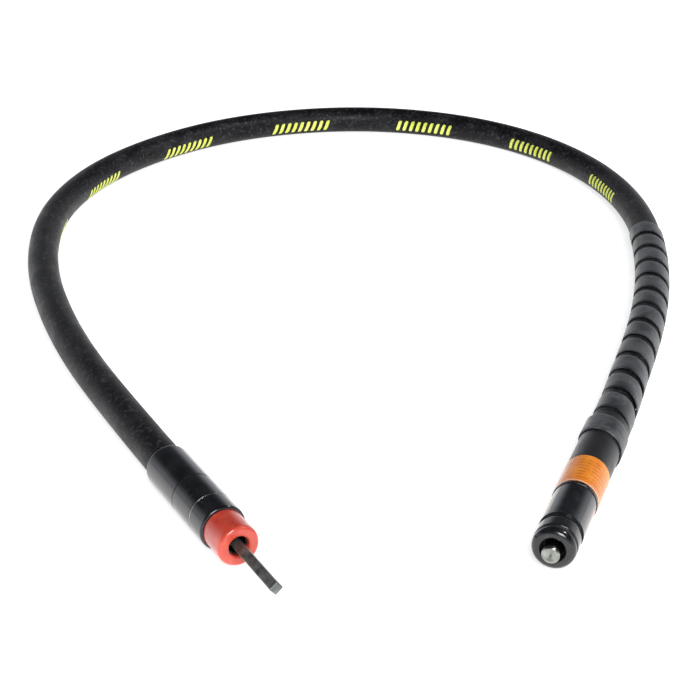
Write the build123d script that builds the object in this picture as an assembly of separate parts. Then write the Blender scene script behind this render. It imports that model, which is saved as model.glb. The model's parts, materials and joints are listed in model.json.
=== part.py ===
"""Flexible drive shaft of a concrete vibrator, lying on the floor in a wide bow.

A rubber hose carries a turning steel core from the motor to the poker head.
The motor end has a spiral bend protector, a sleeve with an orange band and a
quick plug. The head end has a swaged ferrule, a threaded coupling under a red
cap and the core's square drive tip.

Frame, in millimetres: the origin is the centre of the motor plug's seating
plane, +Y runs along the plug's axis into the hose, +Z is up, +X to the right.
"""
from build123d import *
import math
import os

os.makedirs("parts", exist_ok=True)

# ---------------------------------------------------------------- hose
HOSE_R = 14.0            # outside of the rubber cover
COVER_BORE_R = 10.8
BRAID_R = 10.5
BRAID_BORE_R = 9.7
LINER_R = 9.4
LINER_BORE_R = 6.7
CABLE_R = 5.0            # the turning core
FIT_GAP = 0.3            # between pieces that only pass each other

# ---------------------------------------------------------------- motor end, heights along the plug axis
SEAT = 0.0               # front face of the plug's flange
FLANGE_T = 2.5
FLANGE_R = 16.3
PLUG_R = 15.7
PLUG_BARREL_L = 41.5
LATCH_GROOVE_L = 5.5
LATCH_GROOVE_R = 14.3
RING_R = 15.5
RING_END = 57.5
O_RING_GROOVE_L = 3.2
O_RING_GROOVE_R = 14.0
O_RING_WIRE_R = 0.75
NOSE_R = 15.4
NOSE_END = 66.0
NOSE_ROUND = 4.5
NOSE_BORE_R = 8.7
PLUG_TAIL = -20.0        # rear end of the plug, inside the sleeve
PLUG_TAIL_R = 14.2
BEARING_SEAT_R = 12.0
BEARING_SEAT_END = 36.0
SLEEVE_R = 16.1
SLEEVE_BORE_R = 14.3
SLEEVE_MOUTH = -115.0
BAND_T = 0.22
BAND_START = -41.3
BAND_END = -3.0
INSERT_R = 11.9
INSERT_TAIL = -72.0
INSERT_FRONT = 10.0

# ---------------------------------------------------------------- bearings, 12 x 24 x 6 mm
BEARING_R = 12.0
BEARING_BORE_R = 6.0
BEARING_W = 6.0
RACE_GAP = 1.1           # from the ball circle to each race
RACE_EDGE = 0.02         # clearance of a race in its seat
GROOVE_PLAY = 0.1        # between a ball and its groove
BALL_R = 1.9
BALL_COUNT = 12
FRONT_BEARING = 30.0
REAR_BEARING = 14.0
SPACER_T = 1.3
CLIP_T = 1.1
PLUG_CLIP_AT = 12.5
PLUG_CLIP_GROOVE_R = 12.6
SHAFT_CLIP_GROOVE_R = 5.4
SEAL_START = 50.0
SEAL_END = 56.0

# ---------------------------------------------------------------- bend protector, a spiral-wound strip
PROTECTOR_T = 1.2
PROTECTOR_R = 15.5
PROTECTOR_END_R = 17.5   # outside, where it grips the sleeve
PROTECTOR_END = -76.8
PROTECTOR_STEP = -117.5
PROTECTOR_STEP_T = 2.0
PROTECTOR_L = 412.5      # on the hose, from the step to the free end
GRIP_BORE_R = 16.3       # where it grips the sleeve

# ---------------------------------------------------------------- head end, heights from the ferrule's mouth
FERRULE_R = 16.8
FERRULE_BORE_R = 14.3
FERRULE_L = 78.3
FERRULE_WALL = 3.6
CRIMP_AT = 49.0
HOSE_END = 72.0
SEAM_RING_T = 1.0
COLLAR_START = 79.6
COLLAR_END = 99.5
THREAD_R = 12.0          # crests
THREAD_ROOT_R = 11.3
THREAD_PITCH = 2.0
CREST_T = 0.5
THREAD_START = 100.5
THREAD_TURNS = 10
THREAD_END = 121.0
SPIGOT_R = 9.2
SPIGOT_START = 18.0
CORE_BORE_R = 6.7
CAP_R = 14.9
CAP_START = 99.8
CAP_END = 126.0
CAP_BORE_R = 7.2
TIP_END = 183.0
TIP_SQUARE = 7.0
TIP_TURN = 40.0          # how the square stands about its axis, degrees
NECK_R = 4.95
NECK_END = 104.0
BUSH_START = 80.0
BUSH_END = 96.0

# ---------------------------------------------------------------- turning ends of the core
CRIMP_R = 6.2            # barrel crimped on the cable
STUB_GAP = 0.5           # between a turning stub and the cable's long middle
MOTOR_CRIMP_START = -45.0
MOTOR_STUB_START = -62.0
MOTOR_SOCKET_END = -20.0
SHAFT_STEP = 11.0        # front of the crimp barrel
SHOULDER_R = 7.2         # against the front bearing's inner race
SHOULDER_END = 40.0
INPUT_END = 73.0
INPUT_R = 6.3
INPUT_DISH_R = 4.4       # shallow dish in the front face
INPUT_DISH_DEPTH = 1.8
HEAD_STUB_START = -6.0
HEAD_SOCKET_END = 45.0
HEAD_CRIMP_START = 20.0
HEAD_CRIMP_END = 62.0

# ---------------------------------------------------------------- route of the hose, from plug to head
ROUTE = [
    (0, 22, 0),
    (0, 240, 0),
    (-20, 435, -0.5),
    (-72, 615, -2.0),
    (-170, 746, -3.5),
    (-300, 812, -3.5),
    (-445, 802, -3.5),
    (-567, 711, -3.5),
    (-629, 566, -3.5),
    (-627, 420, -3.5),
    (-568, 276, -3.5),
    (-466, 135, -2.5),
    (-345, 10, -0.7),
    (-236, -92, -0.7),
]
ARC_SHARE = 0.45         # of the shorter run beside a corner
PROTECTED_CORNERS = 3    # corners of the route that the bend protector reaches


def corner_radius(before, corner, after):
    """The largest arc that a corner's two runs allow."""
    run_in = Vector(corner) - Vector(before)
    run_out = Vector(after) - Vector(corner)
    half_turn = math.radians(run_in.get_angle(run_out)) / 2
    return ARC_SHARE * min(run_in.length, run_out.length) / math.tan(half_turn)


RADII = [corner_radius(*ROUTE[i - 1:i + 2]) for i in range(1, len(ROUTE) - 1)]
HEAD_AXIS = (Vector(ROUTE[-1]) - Vector(ROUTE[-2])).normalized()
HEAD_MOUTH = Vector(ROUTE[-1]) - HEAD_AXIS * HOSE_END
MOTOR_PLACE = Plane(origin=(0, 0, 0), x_dir=(1, 0, 0), z_dir=(0, -1, 0)).location
HEAD_PLACE = Plane(origin=HEAD_MOUTH, x_dir=HEAD_AXIS.cross(Vector(0, 0, 1)), z_dir=HEAD_AXIS).location


def keep(name, *solids):
    """Write one node, which may be a group of separate solids."""
    shape = solids[0] if len(solids) == 1 else Compound(children=list(solids))
    export_step(shape, f"parts/{name}.step")


def turned(*outline, arc=360):
    """A solid of revolution about Z from (radius, height) corners."""
    face = make_face(Polyline(*[(r, 0, z) for r, z in outline], close=True))
    return revolve(face, Axis.Z, arc)


def tube(bore, radius, low, high):
    return turned((bore, low), (radius, low), (radius, high), (bore, high))


def edges_at(solid, height, radius):
    """The circular edges of one radius at one height."""
    found = []
    for edge in solid.edges().filter_by(GeomType.CIRCLE):
        same_height = abs(edge.center().Z - height) < 0.01
        if same_height and abs(edge.radius - radius) < 0.01:
            found.append(edge)
    return found


def rounded(solid, height, radius, by):
    return fillet(edges_at(solid, height, radius), by)


def cord_path(points, radii):
    return FilletPolyline(*points, radius=radii)


def swept_tube(path, radius, bore):
    """A tube or, with no bore, a rod along a path."""
    section = Circle(radius)
    if bore:
        section -= Circle(bore)
    start = Plane(origin=path @ 0, z_dir=path % 0)
    return sweep(start * section, path=path)


def barbed_spigot(low, high, front):
    """Outline of a hose spigot: barbs from low to high, then plain up to front."""
    pitch = 9.0
    barb = 0.35
    crest = 0.25
    corners = [(CORE_BORE_R, low)]
    height = low
    while height + pitch <= high:
        corners += [(SPIGOT_R - barb, height), (SPIGOT_R + crest, height + pitch - 1.5)]
        height += pitch
    return corners + [(SPIGOT_R, height), (SPIGOT_R, front)]


# ---------------------------------------------------------------- hose
def make_hose():
    points = [Vector(p) for p in ROUTE]
    whole = cord_path(points, RADII)
    cover = swept_tube(whole, HOSE_R, COVER_BORE_R)
    area = math.pi * (HOSE_R**2 - COVER_BORE_R**2)
    print("hose length %.1f mm, cover volume over section x length %.5f"
          % (whole.length, cover.volume / (area * whole.length)))
    print("corner radii, mm:", [round(r) for r in RADII])
    keep("hose_cover", cover)
    keep("hose_braid", swept_tube(whole, BRAID_R, BRAID_BORE_R))

    liner_start = Vector(0, -INSERT_TAIL + 5, 0)
    liner_end = HEAD_MOUTH + HEAD_AXIS * (SPIGOT_START - 5)
    liner = cord_path([liner_start, *points[1:-1], liner_end], RADII)
    keep("hose_liner", swept_tube(liner, LINER_R, LINER_BORE_R))

    cable_start = Vector(0, -MOTOR_STUB_START + STUB_GAP, 0)
    cable_end = HEAD_MOUTH + HEAD_AXIS * (HEAD_STUB_START - STUB_GAP)
    cable = cord_path([cable_start, *points[1:-1], cable_end], RADII)
    keep("core_cable", swept_tube(cable, CABLE_R, 0))
    return points


def make_protector(points):
    """The spiral strip's outer form: a tube on the hose, wider where it grips the sleeve."""
    last = PROTECTED_CORNERS
    bore = PROTECTOR_R - PROTECTOR_T
    start = Vector(0, -PROTECTOR_STEP, 0)
    end = (points[last] + points[last + 1]) / 2
    path = cord_path([start, *points[1:last + 1], end], RADII[:last])
    free_end = Plane(
        origin=path.position_at(PROTECTOR_L, position_mode=PositionMode.LENGTH),
        z_dir=path.tangent_at(PROTECTOR_L, position_mode=PositionMode.LENGTH))
    along_hose = split(swept_tube(path, PROTECTOR_R, bore), bisect_by=free_end, keep=Keep.BOTTOM)
    grip = turned(
        (GRIP_BORE_R, PROTECTOR_END), (PROTECTOR_END_R, PROTECTOR_END),
        (PROTECTOR_END_R, PROTECTOR_STEP + 3.5), (PROTECTOR_R, PROTECTOR_STEP - PROTECTOR_STEP_T),
        (bore, PROTECTOR_STEP - PROTECTOR_STEP_T), (bore, PROTECTOR_STEP + 0.8),
        (GRIP_BORE_R, PROTECTOR_STEP + 2.2))
    keep("bend_protector", along_hose + MOTOR_PLACE * grip)


# ---------------------------------------------------------------- motor end
def make_motor_shell():
    groove_end = PLUG_BARREL_L + LATCH_GROOVE_L
    o_ring_end = RING_END + O_RING_GROOVE_L
    clip_low = PLUG_CLIP_AT - 0.2
    clip_high = PLUG_CLIP_AT + CLIP_T + 0.4
    plug = turned(
        (BEARING_SEAT_R, PLUG_TAIL), (PLUG_TAIL_R, PLUG_TAIL), (PLUG_TAIL_R, -FLANGE_T),
        (FLANGE_R, -FLANGE_T), (FLANGE_R, SEAT), (PLUG_R, SEAT), (PLUG_R, PLUG_BARREL_L),
        (LATCH_GROOVE_R, PLUG_BARREL_L), (LATCH_GROOVE_R, groove_end), (RING_R, groove_end),
        (RING_R, RING_END), (O_RING_GROOVE_R, RING_END), (O_RING_GROOVE_R, o_ring_end),
        (NOSE_R, o_ring_end), (NOSE_R, NOSE_END), (NOSE_BORE_R, NOSE_END),
        (NOSE_BORE_R, BEARING_SEAT_END), (BEARING_SEAT_R, BEARING_SEAT_END),
        (BEARING_SEAT_R, clip_high), (PLUG_CLIP_GROOVE_R, clip_high),
        (PLUG_CLIP_GROOVE_R, clip_low), (BEARING_SEAT_R, clip_low))
    plug = rounded(plug, NOSE_END, NOSE_R, NOSE_ROUND)
    plug = rounded(plug, NOSE_END, NOSE_BORE_R, 1.0)
    plug = rounded(plug, groove_end, RING_R, 0.9)
    plug = rounded(plug, RING_END, RING_R, 0.9)
    plug = rounded(plug, SEAT, FLANGE_R, 0.5)
    keep("motor_plug", MOTOR_PLACE * plug)

    o_ring_at = RING_END + O_RING_GROOVE_L / 2
    o_ring = Pos(0, 0, o_ring_at) * Torus(O_RING_GROOVE_R + 0.02 + O_RING_WIRE_R, O_RING_WIRE_R)
    keep("plug_o_ring", MOTOR_PLACE * o_ring)

    sleeve = tube(SLEEVE_BORE_R, SLEEVE_R, SLEEVE_MOUTH, -FLANGE_T - 0.05)
    sleeve = rounded(sleeve, SLEEVE_MOUTH, SLEEVE_R, 1.0)
    keep("motor_sleeve", MOTOR_PLACE * sleeve)
    band = tube(SLEEVE_R + 0.03, SLEEVE_R + 0.03 + BAND_T, BAND_START, BAND_END)
    keep("orange_band", MOTOR_PLACE * band)

    insert = turned(*barbed_spigot(INSERT_TAIL, PLUG_TAIL - 8, PLUG_TAIL), (INSERT_R, PLUG_TAIL),
                    (INSERT_R, INSERT_FRONT), (CORE_BORE_R, INSERT_FRONT))
    keep("hose_insert", MOTOR_PLACE * insert)


def bearing(name, low):
    """A deep-groove ball bearing in three nodes, its inner race turning with the core."""
    high = low + BEARING_W
    middle = low + BEARING_W / 2
    pitch_r = (BEARING_R + BEARING_BORE_R) / 2
    groove = Pos(0, 0, middle) * Torus(pitch_r, BALL_R + GROOVE_PLAY)
    outer = tube(pitch_r + RACE_GAP, BEARING_R - RACE_EDGE, low + RACE_EDGE, high - RACE_EDGE) - groove
    inner = tube(BEARING_BORE_R, pitch_r - RACE_GAP, low + RACE_EDGE, high - RACE_EDGE) - groove
    balls = []
    for i in range(BALL_COUNT):
        turn = MOTOR_PLACE * Rot(0, 0, 360 * i / BALL_COUNT)
        balls.append(turn * Pos(pitch_r, 0, middle) * Sphere(BALL_R))
    keep(f"{name}_bearing_outer", MOTOR_PLACE * outer)
    keep(f"{name}_bearing_inner", MOTOR_PLACE * inner)
    keep(f"{name}_bearing_balls", *balls)


def make_motor_drive():
    bearing("front", FRONT_BEARING)
    bearing("rear", REAR_BEARING)
    spacer_low = REAR_BEARING + BEARING_W + 0.05
    spacer_high = FRONT_BEARING - 0.05
    outer_r = BEARING_SEAT_R - 0.1
    inner_r = BEARING_BORE_R + 0.02
    keep("bearing_spacer", MOTOR_PLACE * tube(outer_r - SPACER_T, outer_r, spacer_low, spacer_high))
    keep("inner_spacer", MOTOR_PLACE * tube(inner_r, inner_r + SPACER_T, spacer_low, spacer_high))
    clip_end = PLUG_CLIP_AT + CLIP_T
    plug_clip = turned(
        (PLUG_CLIP_GROOVE_R - 1.7, PLUG_CLIP_AT), (PLUG_CLIP_GROOVE_R - 0.1, PLUG_CLIP_AT),
        (PLUG_CLIP_GROOVE_R - 0.1, clip_end), (PLUG_CLIP_GROOVE_R - 1.7, clip_end), arc=325)
    keep("plug_circlip", MOTOR_PLACE * plug_clip)
    shaft_clip = turned(
        (SHAFT_CLIP_GROOVE_R + 0.1, PLUG_CLIP_AT), (SHAFT_CLIP_GROOVE_R + 1.8, PLUG_CLIP_AT),
        (SHAFT_CLIP_GROOVE_R + 1.8, clip_end), (SHAFT_CLIP_GROOVE_R + 0.1, clip_end), arc=320)
    keep("shaft_circlip", MOTOR_PLACE * shaft_clip)

    lip_r = INPUT_R + FIT_GAP
    seal_r = NOSE_BORE_R - 0.02
    seal = turned((lip_r, SEAL_START), (seal_r, SEAL_START), (seal_r, SEAL_END),
                  (seal_r - 1.2, SEAL_END), (lip_r, SEAL_END - 2))
    keep("nose_seal", MOTOR_PLACE * seal)

    shaft_r = BEARING_BORE_R - 0.02
    clip_low = PLUG_CLIP_AT - 0.1
    clip_high = clip_end + 0.1
    shoulder = BEARING_SEAT_END + 0.1
    shaft = turned(
        (0, MOTOR_SOCKET_END), (CABLE_R + 0.02, MOTOR_SOCKET_END), (CABLE_R + 0.02, MOTOR_CRIMP_START),
        (CRIMP_R, MOTOR_CRIMP_START), (CRIMP_R, SHAFT_STEP), (shaft_r, SHAFT_STEP), (shaft_r, clip_low),
        (SHAFT_CLIP_GROOVE_R, clip_low), (SHAFT_CLIP_GROOVE_R, clip_high), (shaft_r, clip_high),
        (shaft_r, shoulder), (SHOULDER_R, shoulder), (SHOULDER_R, SHOULDER_END), (INPUT_R, SHOULDER_END),
        (INPUT_R, INPUT_END), (INPUT_DISH_R, INPUT_END), (0, INPUT_END - INPUT_DISH_DEPTH))
    shaft = rounded(shaft, INPUT_END, INPUT_R, 1.6)
    keep("core_input_end", MOTOR_PLACE * shaft)
    stub = Pos(0, 0, MOTOR_STUB_START) * Cylinder(
        CABLE_R, MOTOR_SOCKET_END - 0.3 - MOTOR_STUB_START, align=(Align.CENTER, Align.CENTER, Align.MIN))
    keep("core_motor_stub", MOTOR_PLACE * stub)


# ---------------------------------------------------------------- head end
def make_head_shell():
    ferrule = turned(
        (FERRULE_BORE_R, 0), (FERRULE_R, 0), (FERRULE_R, CRIMP_AT - 0.7), (FERRULE_R - 0.3, CRIMP_AT),
        (FERRULE_R, CRIMP_AT + 0.7), (FERRULE_R, FERRULE_L), (SPIGOT_R + FIT_GAP, FERRULE_L),
        (SPIGOT_R + FIT_GAP, FERRULE_L - FERRULE_WALL), (FERRULE_BORE_R, FERRULE_L - FERRULE_WALL))
    ferrule = rounded(ferrule, 0, FERRULE_R, 2.2)
    ferrule = rounded(ferrule, FERRULE_L, FERRULE_R, 0.4)
    keep("head_ferrule", HEAD_PLACE * ferrule)
    ring_low = FERRULE_L + 0.1
    ring = tube(SPIGOT_R + FIT_GAP, FERRULE_R - 0.1, ring_low, ring_low + SEAM_RING_T)
    keep("seam_ring", HEAD_PLACE * ring)

    crests = []
    for i in range(THREAD_TURNS):
        low = THREAD_START + i * THREAD_PITCH
        middle = low + THREAD_PITCH / 2
        crests += [(THREAD_ROOT_R, low), (THREAD_R, middle - CREST_T / 2), (THREAD_R, middle + CREST_T / 2)]
    coupling = turned(
        *barbed_spigot(SPIGOT_START, HOSE_END, COLLAR_START), (FERRULE_R, COLLAR_START),
        (FERRULE_R, COLLAR_END), (THREAD_ROOT_R, COLLAR_END), *crests,
        (THREAD_ROOT_R, THREAD_END), (CORE_BORE_R, THREAD_END))
    coupling = rounded(coupling, COLLAR_END, FERRULE_R, 1.8)
    coupling = rounded(coupling, COLLAR_START, FERRULE_R, 0.4)
    coupling = chamfer(edges_at(coupling, THREAD_END, THREAD_ROOT_R), 0.4)
    keep("head_coupling", HEAD_PLACE * coupling)
    keep("core_guide_bush", HEAD_PLACE * tube(NECK_R + 0.05, CORE_BORE_R - 0.02, BUSH_START, BUSH_END))

    cap = turned(
        (THREAD_R + FIT_GAP, CAP_START), (CAP_R, CAP_START), (CAP_R, CAP_END), (CAP_BORE_R, CAP_END),
        (CAP_BORE_R, THREAD_END + 0.6), (THREAD_R + FIT_GAP, THREAD_END + 0.6))
    cap = rounded(cap, CAP_END, CAP_R, 3.2)
    cap = rounded(cap, CAP_END, CAP_BORE_R, 2.2)
    cap = rounded(cap, CAP_START, CAP_R, 0.4)
    keep("thread_cap", HEAD_PLACE * cap)


def make_head_drive():
    tip = turned(
        (0, HEAD_SOCKET_END), (CABLE_R + 0.02, HEAD_SOCKET_END), (CABLE_R + 0.02, HEAD_CRIMP_START),
        (CRIMP_R, HEAD_CRIMP_START), (CRIMP_R, HEAD_CRIMP_END), (NECK_R, HEAD_CRIMP_END + 1.2),
        (NECK_R, NECK_END), (0, NECK_END))
    blade = Box(TIP_SQUARE, TIP_SQUARE, TIP_END - NECK_END, align=(Align.CENTER, Align.CENTER, Align.MIN))
    blade = fillet(blade.edges().filter_by(Axis.Z), 1.0)
    blade = chamfer(blade.faces().sort_by(Axis.Z)[-1].edges(), 0.8)
    tip += Pos(0, 0, NECK_END) * Rot(0, 0, TIP_TURN) * blade
    keep("core_output_tip", HEAD_PLACE * tip)
    stub = Pos(0, 0, HEAD_STUB_START) * Cylinder(
        CABLE_R, HEAD_SOCKET_END - 0.3 - HEAD_STUB_START, align=(Align.CENTER, Align.CENTER, Align.MIN))
    keep("core_head_stub", HEAD_PLACE * stub)


route_points = make_hose()
make_protector(route_points)
make_motor_shell()
make_motor_drive()
make_head_shell()
make_head_drive()
print("head axis", [round(v, 5) for v in HEAD_AXIS], "head mouth, mm", [round(v, 3) for v in HEAD_MOUTH])
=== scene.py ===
"""Looks of a concrete vibrator's flexible drive shaft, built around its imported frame.

The rubber hose, its printed bars and the spiral bend protector are meshes that
follow the hose's route. Every other piece is a CAD node with its own material.
"""
import json
import math

import bpy
import numpy as np
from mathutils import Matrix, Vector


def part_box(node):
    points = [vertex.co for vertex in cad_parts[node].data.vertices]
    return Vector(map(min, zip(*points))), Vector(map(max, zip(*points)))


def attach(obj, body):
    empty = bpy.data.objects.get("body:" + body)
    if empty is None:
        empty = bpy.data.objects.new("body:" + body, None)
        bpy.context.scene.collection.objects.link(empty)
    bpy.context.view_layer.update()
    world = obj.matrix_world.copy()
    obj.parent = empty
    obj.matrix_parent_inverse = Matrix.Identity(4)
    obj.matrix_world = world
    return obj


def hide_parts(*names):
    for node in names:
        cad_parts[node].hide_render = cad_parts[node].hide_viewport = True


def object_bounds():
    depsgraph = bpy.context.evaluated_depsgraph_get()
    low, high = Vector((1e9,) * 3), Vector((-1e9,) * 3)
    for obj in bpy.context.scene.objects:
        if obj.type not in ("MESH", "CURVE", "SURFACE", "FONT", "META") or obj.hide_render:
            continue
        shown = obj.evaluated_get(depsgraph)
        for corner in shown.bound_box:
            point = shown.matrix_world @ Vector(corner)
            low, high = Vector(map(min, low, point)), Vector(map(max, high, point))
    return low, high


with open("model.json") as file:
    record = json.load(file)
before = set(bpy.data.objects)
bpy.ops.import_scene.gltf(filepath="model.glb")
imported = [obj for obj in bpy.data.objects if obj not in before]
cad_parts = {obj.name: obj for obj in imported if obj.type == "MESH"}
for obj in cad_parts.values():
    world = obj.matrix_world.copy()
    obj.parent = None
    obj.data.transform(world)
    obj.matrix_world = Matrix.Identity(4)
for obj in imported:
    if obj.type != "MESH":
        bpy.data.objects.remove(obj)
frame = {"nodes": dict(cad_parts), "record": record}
cad_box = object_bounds()
nodes = frame["nodes"]

MM = 0.001

# ---------------------------------------------------------------- route of the hose, plug to head, in metres
ROUTE = [
    (0, 0.022, 0),
    (0, 0.240, 0),
    (-0.020, 0.435, -0.0005),
    (-0.072, 0.615, -0.0020),
    (-0.170, 0.746, -0.0035),
    (-0.300, 0.812, -0.0035),
    (-0.445, 0.802, -0.0035),
    (-0.567, 0.711, -0.0035),
    (-0.629, 0.566, -0.0035),
    (-0.627, 0.420, -0.0035),
    (-0.568, 0.276, -0.0035),
    (-0.466, 0.135, -0.0025),
    (-0.345, 0.010, -0.0007),
    (-0.236, -0.092, -0.0007),
]
ROUTE_STEPS = 200        # points read from each span of the spline
HOSE_R = 14.0 * MM
HOSE_BORE_R = 10.8 * MM
HOSE_SIDES = 40
RING_STEP = 4.0 * MM
WRAP_PITCH = 2.6 * MM    # of the faint wrap marks in the rubber
WAVE_FACTOR = 20         # Blender's wave texture multiplies its coordinate by this

# ---------------------------------------------------------------- bend protector
STRIP_PITCH = 34.6 * MM
STRIP_GAP = 10.5 * MM
STRIP_T = 1.2 * MM
STRIP_ROUND = 0.45 * MM
STRIP_HOSE_R = 14.3 * MM     # inside radius of the spiral on the hose
STRIP_SLEEVE_R = 16.3 * MM   # and on the sleeve
STRIP_HIGH = 514.0 * MM      # its far end, along the hose from the route's start
STRIP_TURNS = 12             # whole turns, besides the 315 degrees between its ends' angles
NEAR_END_ANGLE = math.radians(225)   # angles run from the hose's inward side over its top
FAR_END_ANGLE = math.radians(-90)
GAP_AT = 477.5 * MM          # where the gap nearest the far end crosses the upper side
GAP_ANGLE = math.radians(100)
GRIP_FROM = -11.15           # turns between which it climbs onto the sleeve, counted back from
GRIP_TO = -11.45             # where the strip itself crosses GAP_ANGLE, next to that gap
LAST_TURN_SHIFT = 8.0 * MM   # the turn on the sleeve stands this much nearer the plug
SHIFT_FROM = -11.20          # turns between which it moves over
SHIFT_TO = -11.60
LEVEL_FROM = -11.95          # and between which it moves back, so that its end runs nearly level
LEVEL_TO = -12.35
SIDES_PER_TURN = 56
STRAIGHT_TO = 120.0 * MM     # its axis is straight up to here, past the sleeve's mouth
BENT_FROM = 190.0 * MM       # and is the hose's own from here

# ---------------------------------------------------------------- printed bars
MARK_FIRST = 613.0 * MM
MARK_STEP = 152.3 * MM
MARK_COUNT = 7
MARK_LENGTH = 72.0 * MM
MARK_HEIGHT = 12.5 * MM
BARS_PER_MARK = 9
BAR_WIDTH = 4.2 * MM
BAR_SLANT = 4.5 * MM
BAR_PROUD = 0.12 * MM
BAR_TAPER = 0.35             # share of its width that a bar loses at its ends
BAR_TAPER_POWER = 8
MARK_ANGLE = -8.0            # degrees above the hose's inward side, at MARK_ANGLE_AT
MARK_ANGLE_AT = 1001.0 * MM
MARK_TWIST = -37.4           # degrees per metre

# ---------------------------------------------------------------- orange band, from its end at the plug
RING_PITCH = 4.2 * MM        # of its fine printed rings
RINGS_FROM = 5.0 * MM
RINGS_TO = 35.5 * MM
PAINTED_HIGHLIGHT_FROM = 0.5 * MM          # of the painted highlight, a pale line along the band's end at the plug
PAINTED_HIGHLIGHT_TO = 1.5 * MM


# ---------------------------------------------------------------- the route as a smooth line
def read_line():
    """Points along the route's NURBS spline."""
    curve = bpy.data.curves.new("route", "CURVE")
    curve.dimensions = "3D"
    spline = curve.splines.new("NURBS")
    spline.points.add(len(ROUTE) - 1)
    for place, point in zip(spline.points, ROUTE):
        place.co = (*point, 1)
    spline.order_u = 3
    spline.use_endpoint_u = True
    spline.resolution_u = ROUTE_STEPS
    holder = bpy.data.objects.new("route", curve)
    bpy.context.scene.collection.objects.link(holder)
    mesh = bpy.data.meshes.new_from_object(holder)
    points = np.array([v.co for v in mesh.vertices])
    bpy.data.objects.remove(holder)
    bpy.data.meshes.remove(mesh)
    bpy.data.curves.remove(curve)
    return points


LINE = read_line()
LINE_S = np.concatenate([[0], np.cumsum(np.linalg.norm(np.diff(LINE, axis=0), axis=1))])
LINE_T = np.gradient(LINE, LINE_S, axis=0)


def along(s):
    """Centre, inward side and upward side of the hose at each distance s."""
    s = np.asarray(s, float)
    centre = np.stack([np.interp(s, LINE_S, LINE[:, i]) for i in range(3)], -1)
    tangent = np.stack([np.interp(s, LINE_S, LINE_T[:, i]) for i in range(3)], -1)
    tangent /= np.linalg.norm(tangent, axis=-1, keepdims=True)
    inward = np.cross([0, 0, 1.0], tangent)
    inward /= np.linalg.norm(inward, axis=-1, keepdims=True)
    return centre, inward, np.cross(tangent, inward)


def on_hose(s, angle, radius):
    """Points at distance s, turned by angle from the inward side, radius from the centre line."""
    centre, inward, upward = along(s)
    angle = np.asarray(angle)[..., None]
    radius = np.asarray(radius)[..., None]
    return centre + radius * (np.cos(angle) * inward + np.sin(angle) * upward)


# ---------------------------------------------------------------- mesh helpers
def smooth_step(low, high, x):
    t = np.clip((x - low) / (high - low), 0, 1)
    return t * t * (3 - 2 * t)


def build(name, points, faces, unrolled=None):
    """A mesh object from points and faces, with the straightened hose's coordinates if given."""
    mesh = bpy.data.meshes.new(name)
    mesh.from_pydata(points.reshape(-1, 3).tolist(), [], faces)
    mesh.validate()
    mesh.update()
    mesh.shade_smooth()
    if unrolled is not None:
        field = mesh.attributes.new("unrolled", "FLOAT_VECTOR", "POINT")
        field.data.foreach_set("vector", unrolled.reshape(-1).astype(np.float32))
    obj = bpy.data.objects.new(name, mesh)
    bpy.context.scene.collection.objects.link(obj)
    return obj


def loop_faces(rings, sides, first=0):
    """Quads between successive closed loops of points."""
    faces = []
    for i in range(rings - 1):
        for j in range(sides):
            k = (j + 1) % sides
            a = first + i * sides
            faces.append((a + j, a + k, a + sides + k, a + sides + j))
    return faces


def straightened(s, angle, radius):
    """Where a point of the hose's surface would be if the hose lay straight."""
    shape = np.broadcast(s, angle, radius).shape
    parts = (s, radius * np.cos(angle), radius * np.sin(angle))
    return np.stack([np.broadcast_to(p, shape) for p in parts], -1)


# ---------------------------------------------------------------- hose
def make_hose():
    """The hose as a thick-walled tube, and the points of its centre line."""
    total = LINE_S[-1]
    rings = int(total / RING_STEP) + 1
    s = np.linspace(0, total, rings)[:, None]
    angle = np.linspace(0, 2 * math.pi, HOSE_SIDES, endpoint=False)[None, :]
    s, angle = np.broadcast_arrays(s, angle)
    layers = []
    flat = []
    for radius in (HOSE_R, HOSE_BORE_R):
        layers.append(on_hose(s, angle, np.full(s.shape, radius)))
        flat.append(straightened(s, angle, radius))
    outside = loop_faces(rings, HOSE_SIDES)
    inside = [face[::-1] for face in loop_faces(rings, HOSE_SIDES, rings * HOSE_SIDES)]
    ends = []
    for ring, turn in ((0, 1), (rings - 1, -1)):
        outer = ring * HOSE_SIDES
        inner = (rings + ring) * HOSE_SIDES
        for j in range(HOSE_SIDES):
            k = (j + 1) % HOSE_SIDES
            ends.append((outer + j, inner + j, inner + k, outer + k)[::turn])
    hose = build("hose", np.stack(layers), outside + inside + ends, np.stack(flat))
    return hose, along(s[:, 0])[0]


# ---------------------------------------------------------------- bend protector
def strip_corner():
    """Points of the strip's rounded corner: distance in from its edge, height above the corner's foot."""
    angles = [math.radians(a) for a in (0, 30, 60, 90)]
    return [(STRIP_ROUND * (1 - math.cos(a)), STRIP_ROUND * math.sin(a)) for a in angles]


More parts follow.
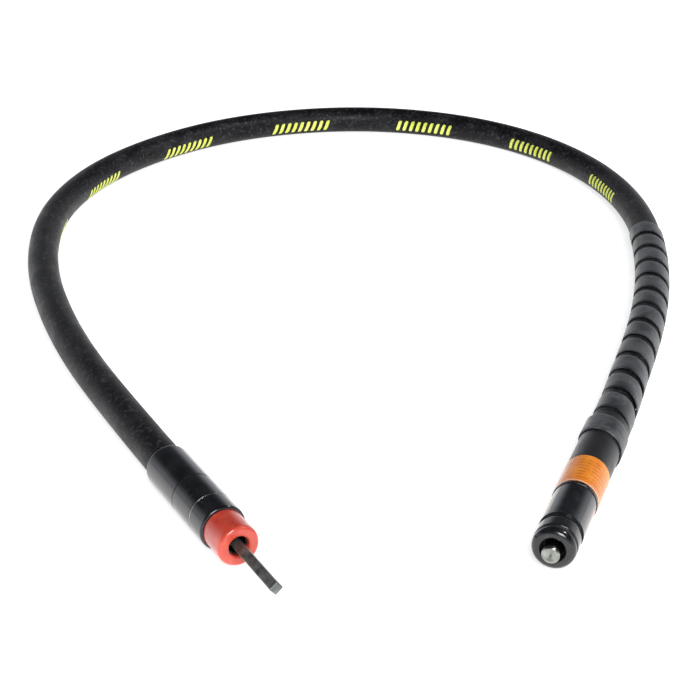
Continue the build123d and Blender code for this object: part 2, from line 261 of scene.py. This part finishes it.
def make_strip():
    """The flat steel strip, wound left-handed round the hose and the sleeve's end."""
    half = (STRIP_PITCH - STRIP_GAP) / 2
    middle = GAP_AT + STRIP_PITCH / 2
    first = GAP_ANGLE - NEAR_END_ANGLE - 2 * math.pi * STRIP_TURNS
    last = GAP_ANGLE - FAR_END_ANGLE
    steps = int((last - first) / (2 * math.pi) * SIDES_PER_TURN)
    corner = strip_corner()
    across = np.linspace(0, 1, 9)[1:-1]
    shoulder = STRIP_T - STRIP_ROUND
    rows = []
    flat = []
    for wound in np.linspace(first, last, steps):
        turns = wound / (2 * math.pi)
        over = smooth_step(LEVEL_TO, LEVEL_FROM, turns) - smooth_step(SHIFT_TO, SHIFT_FROM, turns)
        centre = middle + STRIP_PITCH * turns - LAST_TURN_SHIFT * over
        low = centre - half
        high = min(centre + half, STRIP_HIGH)
        span = high - low
        profile = [(low + inset, shoulder + height) for inset, height in corner]
        profile += [(low + span * share, STRIP_T) for share in across]
        profile += [(high - inset, shoulder + height) for inset, height in corner[::-1]]
        profile += [(high - inset, STRIP_ROUND - height) for inset, height in corner]
        profile += [(low + span * share, 0) for share in across[::-1]]
        profile += [(low + inset, STRIP_ROUND - height) for inset, height in corner[::-1]]
        s = np.array([p[0] for p in profile])
        lift = np.array([p[1] for p in profile])
        widen = 1 - smooth_step(GRIP_TO, GRIP_FROM, turns)
        radius = STRIP_HOSE_R + (STRIP_SLEEVE_R - STRIP_HOSE_R) * widen + lift
        angle = np.full(len(s), GAP_ANGLE - wound)
        points = on_hose(s, angle, radius)
        straight = 1 - smooth_step(STRAIGHT_TO, BENT_FROM, s)
        centre_line = along(s)[0]
        points[:, 0] -= centre_line[:, 0] * straight
        rows.append(points)
        flat.append(straightened(s, angle, radius))
    sides = len(rows[0])
    faces = [face[::-1] for face in loop_faces(len(rows), sides)]
    start = list(range(sides))
    end = [(len(rows) - 1) * sides + j for j in range(sides)]
    return build("bend_protector_strip", np.stack(rows), faces + [start, end[::-1]], np.stack(flat))


# ---------------------------------------------------------------- printed bars on the hose
def mark_angle(s):
    """The line of print turns slowly round the hose."""
    return math.radians(MARK_ANGLE + MARK_TWIST * (s - MARK_ANGLE_AT))


def make_marks():
    """Slanted bars, each a thin closed plate that stands just proud of the hose."""
    columns, rows = 4, 9
    share = np.linspace(-0.5, 0.5, columns)[:, None]
    rise = np.linspace(-0.5, 0.5, rows)[None, :]
    narrow = 1 - BAR_TAPER * np.abs(2 * rise) ** BAR_TAPER_POWER
    points, flat, faces = [], [], []
    count = columns * rows
    rim = [(0, j) for j in range(rows)]
    rim += [(i, rows - 1) for i in range(1, columns)]
    rim += [(columns - 1, j) for j in range(rows - 2, -1, -1)]
    rim += [(i, 0) for i in range(columns - 2, 0, -1)]
    pitch = (MARK_LENGTH - BAR_WIDTH - BAR_SLANT) / (BARS_PER_MARK - 1)
    for mark in range(MARK_COUNT):
        start = MARK_FIRST + MARK_STEP * mark + (BAR_WIDTH + BAR_SLANT) / 2
        for bar in range(BARS_PER_MARK):
            at = start + pitch * bar
            s = at + share * BAR_WIDTH * narrow - rise * BAR_SLANT
            angle = np.broadcast_to(mark_angle(at) + rise * MARK_HEIGHT / HOSE_R, s.shape)
            base = 2 * count * (mark * BARS_PER_MARK + bar)
            for radius in (HOSE_R + BAR_PROUD, HOSE_R - BAR_PROUD):
                points.append(on_hose(s, angle, np.full(s.shape, radius)))
                flat.append(straightened(s, angle, radius))
            for i in range(columns - 1):
                for j in range(rows - 1):
                    a = base + i * rows + j
                    quad = (a, a + 1, a + rows + 1, a + rows)
                    faces.append(quad[::-1])
                    faces.append(tuple(v + count for v in quad))
            for (i, j), (k, m) in zip(rim, rim[1:] + rim[:1]):
                a = base + i * rows + j
                b = base + k * rows + m
                faces.append((a, b, b + count, a + count)[::-1])
    return build("hose_marks", np.stack(points), faces, np.stack(flat))


# ---------------------------------------------------------------- material helpers
class Look:
    """One node material, whose shader reads colour, roughness and bump from noise."""

    def __init__(self, name, metallic=0.0, coat=0.0, coat_rough=0.1, specular=0.5, field=None):
        self.material = bpy.data.materials.new(name)
        self.material.use_nodes = True
        self.tree = self.material.node_tree
        self.shader = self.tree.nodes["Principled BSDF"]
        self.shader.inputs["Metallic"].default_value = metallic
        self.shader.inputs["Coat Weight"].default_value = coat
        self.shader.inputs["Coat Roughness"].default_value = coat_rough
        self.shader.inputs["Specular IOR Level"].default_value = specular
        if field:
            self.place = self.add("ShaderNodeAttribute", attribute_name=field).outputs["Vector"]
        else:
            self.place = self.add("ShaderNodeTexCoord").outputs["Object"]
        self.normal = None

    def add(self, kind, inputs=None, **settings):
        """A node with these inputs, linked if they are sockets, and these settings."""
        node = self.tree.nodes.new(kind)
        for key, value in settings.items():
            setattr(node, key, value)
        for key, value in (inputs or {}).items():
            if isinstance(value, bpy.types.NodeSocket):
                self.tree.links.new(value, node.inputs[key])
            else:
                node.inputs[key].default_value = value
        return node

    def noise(self, size, detail=3.0, stretch=(1, 1, 1), warp=0.0):
        """Noise whose grains are about size metres across, from 0 to 1."""
        scaled = self.add("ShaderNodeVectorMath", {0: self.place, 1: stretch}, operation="MULTIPLY")
        inputs = {"Vector": scaled.outputs[0], "Scale": 1 / size, "Detail": detail, "Distortion": warp}
        return self.add("ShaderNodeTexNoise", inputs).outputs["Fac"]

    def spread(self, value, low, high, to_low=0.0, to_high=1.0):
        """value from low..high stretched to to_low..to_high and clamped."""
        inputs = {0: value, 1: low, 2: high, 3: to_low, 4: to_high}
        return self.add("ShaderNodeMapRange", inputs, clamp=True).outputs[0]

    def maths(self, operation, a, b=0.0):
        return self.add("ShaderNodeMath", {0: a, 1: b}, operation=operation).outputs[0]

    def stripe(self, value, low, high, soft):
        """1 where value is between low and high, 0 outside, with edges soft wide."""
        rising = self.spread(value, low, low + soft)
        return self.maths("MULTIPLY", rising, self.spread(value, high, high - soft))

    def mix(self, share, a, b):
        """Colour a, turned into colour b by share."""
        node = self.add("ShaderNodeMix", data_type="RGBA")
        for key, value in ((0, share), (6, a), (7, b)):
            if isinstance(value, bpy.types.NodeSocket):
                self.tree.links.new(value, node.inputs[key])
            elif key == 0:
                node.inputs[key].default_value = value
            else:
                node.inputs[key].default_value = (*value, 1)
        return node.outputs[2]

    def part(self, index):
        """One coordinate of the place: 0, 1 or 2."""
        return self.add("ShaderNodeSeparateXYZ", {0: self.place}).outputs[index]

    def edges(self, radius, low, high):
        """1 on edges sharper than the radius, 0 elsewhere; the normal is rounded there."""
        soft = self.add("ShaderNodeBevel", {"Radius": radius}, samples=6).outputs[0]
        true = self.add("ShaderNodeNewGeometry").outputs["Normal"]
        alike = self.add("ShaderNodeVectorMath", {0: soft, 1: true}, operation="DOT_PRODUCT").outputs["Value"]
        self.normal = soft
        return self.spread(alike, high, low)

    def bump(self, height, distance, strength=1.0):
        inputs = {"Height": height, "Distance": distance, "Strength": strength}
        if self.normal is not None:
            inputs["Normal"] = self.normal
        self.normal = self.add("ShaderNodeBump", inputs).outputs[0]

    def done(self, colour, rough):
        self.tree.links.new(colour, self.shader.inputs["Base Color"])
        self.tree.links.new(rough, self.shader.inputs["Roughness"])
        if self.normal is not None:
            self.tree.links.new(self.normal, self.shader.inputs["Normal"])
        return self.material


def hose_look():
    look = Look("hose_rubber", specular=0.18, field="unrolled")
    blotches = look.noise(0.035, 4, warp=0.4)
    streaks = look.noise(0.006, 3, stretch=(0.25, 1, 1))
    wrap = look.add("ShaderNodeTexWave", {
        "Vector": look.place, "Scale": 2 * math.pi / (WAVE_FACTOR * WRAP_PITCH), "Distortion": 1.2,
        "Detail": 2.0, "Detail Scale": 1.0}, wave_type="BANDS", bands_direction="X").outputs["Fac"]
    dusty = look.maths("MULTIPLY", look.spread(blotches, 0.45, 0.72), look.spread(streaks, 0.35, 0.7))
    colour = look.mix(dusty, (0.0040, 0.0040, 0.0050), (0.034, 0.034, 0.038))
    specks = look.spread(look.noise(0.0030, 4, warp=0.5), 0.54, 0.66)
    colour = look.mix(look.maths("MULTIPLY", specks, 0.45), colour, (0.080, 0.080, 0.086))
    uneven = look.maths("ADD", blotches, look.maths("MULTIPLY", streaks, 0.5))
    rough = look.spread(uneven, 0.5, 1.05, 0.36, 0.58)
    look.bump(wrap, 0.05 * MM, 0.5)
    look.bump(look.noise(0.0022, 3), 0.14 * MM, 0.6)
    return look.done(colour, rough)


def strip_look():
    look = Look("strip_steel", metallic=0.45, specular=0.5, field="unrolled")
    worn = look.edges(0.5 * MM, 0.70, 0.97)
    blotches = look.noise(0.018, 4, warp=0.6)
    rolled = look.noise(0.0022, 3, stretch=(1, 0.25, 0.25))
    base = look.mix(look.spread(blotches, 0.38, 0.66), (0.034, 0.038, 0.042), (0.128, 0.136, 0.140))
    grain = look.spread(look.noise(0.0026, 4, warp=0.6), 0.48, 0.64)
    base = look.mix(look.maths("MULTIPLY", grain, 0.5), base, (0.030, 0.034, 0.037))
    patchy = look.maths("MULTIPLY", worn, look.spread(look.noise(0.008, 3), 0.36, 0.62))
    colour = look.mix(patchy, base, (0.42, 0.43, 0.43))
    uneven = look.maths("ADD", blotches, look.maths("MULTIPLY", rolled, 0.6))
    rough = look.spread(uneven, 0.55, 1.1, 0.30, 0.52)
    look.bump(rolled, 0.03 * MM, 0.5)
    look.bump(look.noise(0.006, 4), 0.20 * MM, 0.5)
    return look.done(colour, rough)


def mark_look():
    look = Look("mark_yellow", specular=0.4, field="unrolled")
    worn = look.spread(look.noise(0.0016, 4), 0.62, 0.70)
    fresh = look.mix(look.spread(look.noise(0.009, 2), 0.35, 0.65), (0.66, 0.74, 0.07), (0.84, 0.90, 0.20))
    colour = look.mix(worn, fresh, (0.05, 0.06, 0.02))
    rough = look.spread(look.noise(0.002, 2), 0.3, 0.7, 0.42, 0.60)
    look.bump(look.noise(0.0009, 2), 0.03 * MM, 0.5)
    return look.done(colour, rough)


def gloss_look(name, stretch):
    """Black lacquer on turned steel, whose faint turning marks are noise drawn out by stretch."""
    look = Look(name, coat=0.35, coat_rough=0.07, specular=0.45)
    worn = look.edges(0.45 * MM, 0.72, 0.985)
    turned = look.noise(0.0009, 2, stretch=stretch)
    haze = look.noise(0.014, 4, warp=0.5)
    scuffs = look.spread(look.noise(0.0035, 5, stretch=(1, 1, 0.4), warp=0.8), 0.63, 0.72)
    base = look.mix(look.spread(haze, 0.42, 0.75), (0.0060, 0.0062, 0.0075), (0.0140, 0.0144, 0.0170))
    base = look.mix(look.maths("MULTIPLY", scuffs, 0.30), base, (0.09, 0.09, 0.095))
    patchy = look.maths("MULTIPLY", worn, look.spread(look.noise(0.006, 3), 0.48, 0.68))
    colour = look.mix(patchy, base, (0.15, 0.15, 0.16))
    uneven = look.maths("ADD", haze, look.maths("MULTIPLY", turned, 0.4))
    rough = look.spread(uneven, 0.4, 1.0, 0.12, 0.26)
    look.bump(turned, 0.012 * MM, 0.5)
    look.bump(look.noise(0.007, 2), 0.05 * MM, 0.35)
    return look.done(colour, rough)


def satin_look():
    look = Look("black_satin", specular=0.32)
    grain = look.noise(0.0008, 2)
    haze = look.noise(0.016, 4, warp=0.5)
    scuffs = look.spread(look.noise(0.004, 5, stretch=(1, 0.5, 1)), 0.62, 0.74)
    base = look.mix(look.spread(haze, 0.4, 0.7), (0.006, 0.006, 0.007), (0.016, 0.016, 0.018))
    colour = look.mix(look.maths("MULTIPLY", scuffs, 0.35), base, (0.07, 0.07, 0.075))
    rough = look.spread(haze, 0.3, 0.75, 0.30, 0.44)
    look.bump(grain, 0.03 * MM, 0.5)
    return look.done(colour, rough)


def band_look():
    """Orange film with fine printed rings, and a highlight painted as a pale line along its end at the plug.
    """
    look = Look("orange_film", coat=0.12, coat_rough=0.15, specular=0.3)
    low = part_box("orange_band")[0].y
    y = look.maths("SUBTRACT", look.part(1), low)
    ring = look.maths("FRACT", look.maths("DIVIDE", y, RING_PITCH))
    line = look.stripe(ring, 0.30, 0.66, 0.06)
    broken = look.spread(look.noise(0.0042, 3, stretch=(1, 0.15, 1)), 0.40, 0.50)
    inside = look.stripe(y, RINGS_FROM, RINGS_TO, 0.4 * MM)
    printed = look.maths("MULTIPLY", look.maths("MULTIPLY", line, broken), inside)
    shade = look.spread(look.noise(0.012, 3), 0.35, 0.7)
    base = look.mix(shade, (0.78, 0.215, 0.014), (0.90, 0.300, 0.026))
    colour = look.mix(look.maths("MULTIPLY", printed, 0.8), base, (0.40, 0.105, 0.012))
    # painted highlight: a pale line along the band's end at the plug, where the flange's edge catches light
    rim = look.stripe(y, PAINTED_HIGHLIGHT_FROM, PAINTED_HIGHLIGHT_TO, 0.1 * MM)
    colour = look.mix(look.maths("MULTIPLY", rim, 0.8), colour, (0.85, 0.72, 0.66))
    soiled = look.spread(look.noise(0.003, 5, warp=0.5), 0.62, 0.75)
    colour = look.mix(look.maths("MULTIPLY", soiled, 0.35), colour, (0.22, 0.10, 0.04))
    rough = look.spread(look.noise(0.006, 3), 0.3, 0.7, 0.22, 0.38)
    look.bump(printed, 0.02 * MM, 0.4)
    look.bump(look.noise(0.005, 2), 0.05 * MM, 0.3)
    return look.done(colour, rough)


def steel_look(name, dark, light, rough_low, rough_high, metallic=1.0):
    look = Look(name, metallic=metallic)
    worn = look.edges(0.4 * MM, 0.72, 0.98)
    turned = look.noise(0.0007, 2)
    haze = look.noise(0.007, 4, warp=0.5)
    base = look.mix(look.spread(haze, 0.35, 0.68), dark, light)
    bright = tuple(min(1.0, 0.25 + 1.25 * c) for c in light)
    colour = look.mix(look.maths("MULTIPLY", worn, 0.7), base, bright)
    uneven = look.maths("ADD", haze, look.maths("MULTIPLY", turned, 0.5))
    rough = look.spread(uneven, 0.45, 1.0, rough_low, rough_high)
    look.bump(turned, 0.02 * MM, 0.5)
    return look.done(colour, rough)


def cap_look():
    look = Look("red_plastic", coat=0.55, coat_rough=0.07, specular=0.5)
    look.shader.inputs["Subsurface Weight"].default_value = 0.12
    look.shader.inputs["Subsurface Radius"].default_value = (0.004, 0.0012, 0.0008)
    haze = look.noise(0.012, 3, warp=0.4)
    scuffs = look.spread(look.noise(0.0026, 5, warp=0.7), 0.62, 0.73)
    base = look.mix(look.spread(haze, 0.35, 0.7), (0.50, 0.042, 0.022), (0.68, 0.080, 0.042))
    colour = look.mix(look.maths("MULTIPLY", scuffs, 0.30), base, (0.78, 0.32, 0.26))
    rough = look.spread(haze, 0.3, 0.7, 0.25, 0.38)
    look.bump(look.noise(0.0010, 2), 0.02 * MM, 0.5)
    look.bump(look.noise(0.009, 2), 0.08 * MM, 0.3)
    return look.done(colour, rough)


def matte_look(name, dark, light, rough_low, rough_high):
    look = Look(name, specular=0.4)
    haze = look.noise(0.003, 4)
    colour = look.mix(look.spread(haze, 0.35, 0.7), dark, light)
    rough = look.spread(haze, 0.3, 0.7, rough_low, rough_high)
    look.bump(look.noise(0.0005, 2), 0.03 * MM, 0.6)
    return look.done(colour, rough)


def braid_look():
    look = Look("braid_wire", metallic=1.0)
    cells = look.add("ShaderNodeTexVoronoi", {"Vector": look.place, "Scale": 1 / (1.2 * MM)},
                     distance="MANHATTAN").outputs["Distance"]
    colour = look.mix(look.spread(cells, 0.1, 0.6), (0.50, 0.50, 0.47), (0.10, 0.10, 0.10))
    rough = look.spread(cells, 0.0, 0.7, 0.28, 0.5)
    look.bump(cells, 0.2 * MM, 0.8)
    return look.done(colour, rough)


def floor_look():
    look = Look("floor_paper", specular=0.2)
    haze = look.noise(0.4, 3)
    colour = look.mix(look.spread(haze, 0.3, 0.7), (0.90, 0.90, 0.90), (0.93, 0.93, 0.93))
    rough = look.spread(haze, 0.3, 0.7, 0.75, 0.85)
    look.shader.inputs["Emission Color"].default_value = (1, 1, 1, 1)
    look.shader.inputs["Emission Strength"].default_value = FLOOR_GLOW
    return look.done(colour, rough)


# ---------------------------------------------------------------- pieces
hose, hose_path = make_hose()
strip = make_strip()
marks = make_marks()

looks = {
    "hose_rubber": hose_look(),
    "strip_steel": strip_look(),
    "mark_yellow": mark_look(),
    "motor_gloss": gloss_look("motor_gloss", (0.05, 1, 0.05)),
    "head_gloss": gloss_look("head_gloss", (1, 1, 0.2)),
    "black_satin": satin_look(),
    "orange_film": band_look(),
    "bright_steel": steel_look("bright_steel", (0.18, 0.19, 0.17), (0.38, 0.39, 0.35), 0.14, 0.28),
    "dark_steel": steel_look("dark_steel", (0.085, 0.092, 0.088), (0.230, 0.240, 0.225), 0.30, 0.50,
                             metallic=0.75),
    "red_plastic": cap_look(),
    "black_rubber": matte_look("black_rubber", (0.006, 0.006, 0.006), (0.018, 0.018, 0.018), 0.45, 0.65),
    "bronze": steel_look("bronze", (0.30, 0.17, 0.07), (0.52, 0.33, 0.15), 0.30, 0.50),
    "braid_wire": braid_look(),
    "bearing_steel": steel_look("bearing_steel", (0.60, 0.60, 0.60), (0.74, 0.74, 0.74), 0.10, 0.20),
}

for subpart in frame["record"]["subparts"]:
    name = subpart["material_slot"]
    if name == "black_gloss":
        name = "motor_gloss" if subpart["node"] == "motor_plug" else "head_gloss"
    node = nodes[subpart["node"]]
    node.data.materials.clear()
    node.data.materials.append(looks[name])

for piece, slot in ((hose, "hose_rubber"), (strip, "strip_steel"), (marks, "mark_yellow")):
    piece.data.materials.append(looks[slot])
    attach(piece, "shaft_casing")

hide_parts("hose_cover")
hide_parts("bend_protector")

# ---------------------------------------------------------------- floor, camera and light
FLOOR_SIZE = 14.0
FLOOR_MIDDLE = (-0.3, 1.5)
FLOOR_GLOW = 0.72
CAMERA_AT = (0.1937, -1.0242, 0.5974)
CAMERA_TILT = 65         # degrees up from straight down
CAMERA_TURN = 19.27      # degrees left of +Y
LIGHTS_AIM = (-0.28, 0.35, 0.0)
SKY_WHITE = (0.92, 0.94, 1.0, 1)
SKY_WHITE_TO = 0.16      # sine of the elevation up to which the sky is white
SKY_DARK = (0.050, 0.052, 0.060, 1)
SKY_DARK_FROM = 0.42     # and of the elevation from which it is near black
SKY_STRENGTH = 0.95

bpy.ops.mesh.primitive_grid_add(size=FLOOR_SIZE, x_subdivisions=4, y_subdivisions=4,
                                location=(*FLOOR_MIDDLE, cad_box[0][2]))
floor = bpy.context.object
floor.name = "floor"
floor.data.materials.append(floor_look())

camera_data = bpy.data.cameras.new("camera")
camera_data.lens = 88.24
camera_data.sensor_width = 36
camera = bpy.data.objects.new("camera", camera_data)
camera.location = CAMERA_AT
camera.rotation_euler = (math.radians(CAMERA_TILT), 0, math.radians(CAMERA_TURN))
bpy.context.scene.collection.objects.link(camera)
bpy.context.scene.camera = camera


def area_light(name, place, size, power):
    data = bpy.data.lights.new(name, "AREA")
    data.shape = "RECTANGLE"
    data.size, data.size_y = size
    data.energy = power
    light = bpy.data.objects.new(name, data)
    light.location = place
    gaze = np.array(LIGHTS_AIM) - np.array(place)
    light.rotation_euler = (math.atan2(math.hypot(gaze[0], gaze[1]), -gaze[2]), 0,
                            math.atan2(gaze[1], gaze[0]) - math.pi / 2)
    bpy.context.scene.collection.objects.link(light)


area_light("front", (0.9, -2.0, 1.9), (1.3, 1.1), 70)
area_light("spark", (1.1, 0.9, 1.7), (0.22, 0.22), 16)


def make_world():
    """White round the horizon, falling to near black overhead."""
    world = bpy.data.worlds.new("studio")
    world.use_nodes = True
    tree = world.node_tree
    background = tree.nodes["Background"]
    place = tree.nodes.new("ShaderNodeTexCoord")
    parts = tree.nodes.new("ShaderNodeSeparateXYZ")
    ramp = tree.nodes.new("ShaderNodeValToRGB")
    tree.links.new(place.outputs["Generated"], parts.inputs[0])
    tree.links.new(parts.outputs["Z"], ramp.inputs[0])
    tree.links.new(ramp.outputs[0], background.inputs[0])
    low, high = ramp.color_ramp.elements
    low.position, low.color = SKY_WHITE_TO, SKY_WHITE
    high.position, high.color = SKY_DARK_FROM, SKY_DARK
    background.inputs[1].default_value = SKY_STRENGTH
    bpy.context.scene.world = world


make_world()
bpy.context.scene.view_settings.view_transform = "Standard"

bpy.context.view_layer.update()
